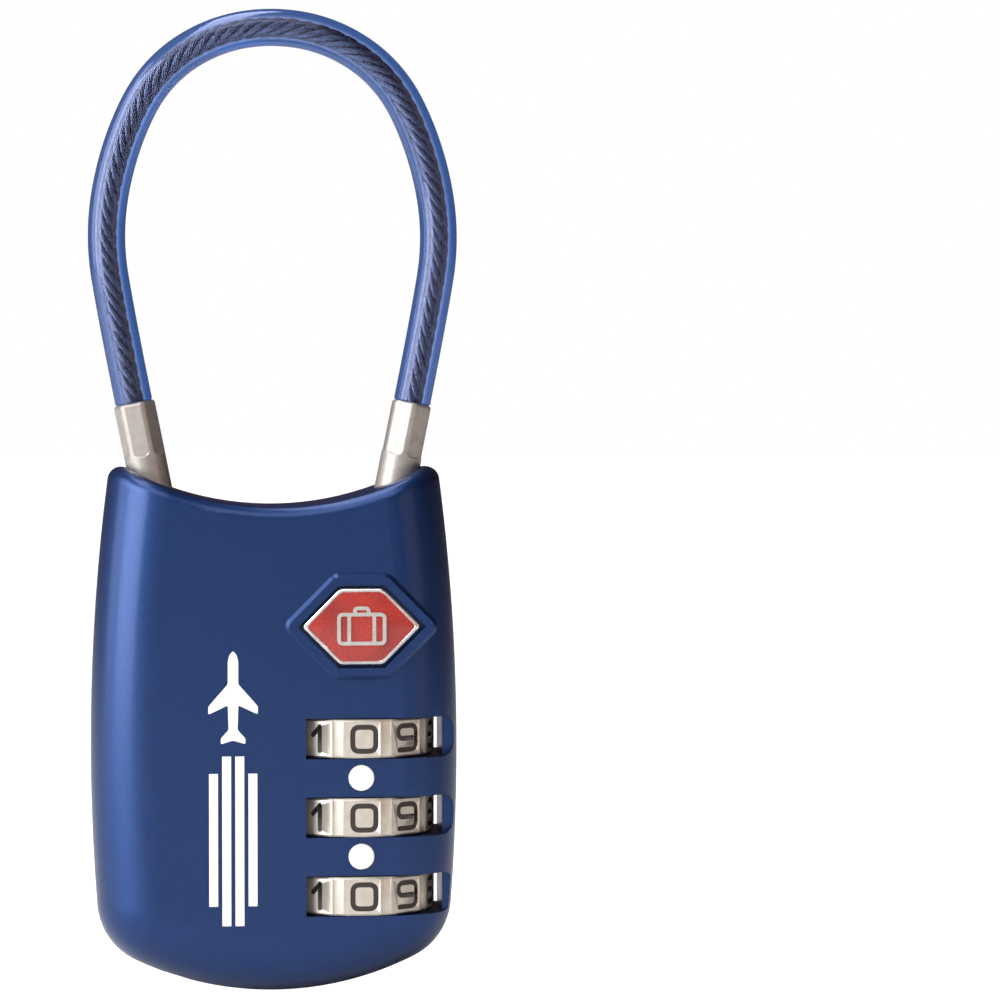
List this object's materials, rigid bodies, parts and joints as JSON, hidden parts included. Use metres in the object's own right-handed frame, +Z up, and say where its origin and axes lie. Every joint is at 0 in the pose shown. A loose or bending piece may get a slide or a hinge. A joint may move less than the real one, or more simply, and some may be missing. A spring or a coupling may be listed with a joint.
{
  "type": "cable luggage lock",
  "caption": "Small blue luggage padlock with number dials and a flexible steel cable loop in place of a rigid shackle, with a master-key plug below.",
  "frame": {"origin": "lowest point of the case, on its centre line and on the parting plane of its halves", "axes": "+Z up the case towards the cable loop, -Y out of the numbered front, +X towards the dials"},
  "size_m": [0.0304, 0.0124, 0.0804],
  "materials": {
    "case_paint": "satin metallic blue paint",
    "badge_metal": "polished nickel",
    "badge_enamel": "glossy red enamel",
    "dot_white": "white paint",
    "cable_steel": "stranded steel rope",
    "jacket_plastic": "clear blue vinyl",
    "ferrule_steel": "brushed, nickel plated",
    "dial_nickel": "nickel plated, black filled numbers",
    "steel": "zinc plated",
    "spring_steel": "bright drawn",
    "zinc": "bare die casting",
    "brass_plug": "turned"
  },
  "bodies": {
    "case": {"front_housing": "case_paint", "rear_housing": "case_paint", "housing_pins": "steel", "badge_plate": "badge_metal", "badge_enamel": "badge_enamel", "index_dots": "dot_white", "cable_core": "cable_steel", "cable_jacket": "jacket_plastic", "fixed_ferrule": "ferrule_steel", "ferrule_pin": "steel", "latch_clip": "spring_steel", "reset_spring": "spring_steel", "detent_spring_1": "spring_steel", "detent_spring_2": "spring_steel", "detent_spring_3": "spring_steel", "plate_spring": "spring_steel", "plug_barrel": "zinc"},
    "free_end": {"free_ferrule": "ferrule_steel"},
    "reset_spindle": {"spindle": "steel"},
    "plug": {"key_plug": "brass_plug", "plug_wafers": "brass_plug", "plug_clip": "spring_steel"},
    "plate": {"locking_plate": "steel"},
    "dial_body_1": {"dial_1": "dial_nickel"},
    "cam_body_1": {"cam_1": "zinc"},
    "dial_body_2": {"dial_2": "dial_nickel"},
    "cam_body_2": {"cam_2": "zinc"},
    "dial_body_3": {"dial_3": "dial_nickel"},
    "cam_body_3": {"cam_3": "zinc"}
  },
  "joints": [
    {"name": "dial_1_turn", "type": "hinge", "parent": "case", "child": "dial_body_1", "pos_m": [0.0068, 0, 0], "axis": [0, 0, 1], "continuous": true, "deforming": ["detent_spring_1"]},
    {"name": "dial_2_turn", "type": "hinge", "parent": "case", "child": "dial_body_2", "pos_m": [0.0068, 0, 0], "axis": [0, 0, 1], "continuous": true, "deforming": ["detent_spring_2"]},
    {"name": "dial_3_turn", "type": "hinge", "parent": "case", "child": "dial_body_3", "pos_m": [0.0068, 0, 0], "axis": [0, 0, 1], "continuous": true, "deforming": ["detent_spring_3"]},
    {"name": "reset_slide", "type": "slide", "parent": "case", "child": "reset_spindle", "axis": [0, 0, 1], "range_m": [0, 0.0014], "stiffness_N_per_m": 400, "springref_m": -0.002, "deforming": ["reset_spring"]},
    {"name": "release", "type": "slide", "parent": "case", "child": "free_end", "axis": [0.1961, 0, 0.9806], "range_m": [0, 0.01], "deforming": ["cable_core", "cable_jacket", "latch_clip"]},
    {"name": "key_plug_turn", "type": "hinge", "parent": "case", "child": "plug", "pos_m": [-0.008, 0, 0], "axis": [0, 0, 1], "range_deg": [0, 90]},
    {"name": "plate_shift", "type": "slide", "parent": "case", "child": "plate", "axis": [-1, 0, 0], "range_m": [0, 0.0009], "deforming": ["plate_spring"]},
    {"name": "cam_1_shift", "type": "slide", "parent": "dial_body_1", "child": "cam_body_1", "axis": [0, 0, 1], "range_m": [0, 0.0014]},
    {"name": "cam_2_shift", "type": "slide", "parent": "dial_body_2", "child": "cam_body_2", "axis": [0, 0, 1], "range_m": [0, 0.0014]},
    {"name": "cam_3_shift", "type": "slide", "parent": "dial_body_3", "child": "cam_body_3", "axis": [0, 0, 1], "range_m": [0, 0.0014]}
  ],
  "couplings": [
    {"joint": "key_plug_turn", "follows": "plate_shift", "rad_per_m": 1745.3},
    {"joint": "cam_1_shift", "follows": "reset_slide", "ratio": 1},
    {"joint": "cam_2_shift", "follows": "reset_slide", "ratio": 1},
    {"joint": "cam_3_shift", "follows": "reset_slide", "ratio": 1}
  ]
}
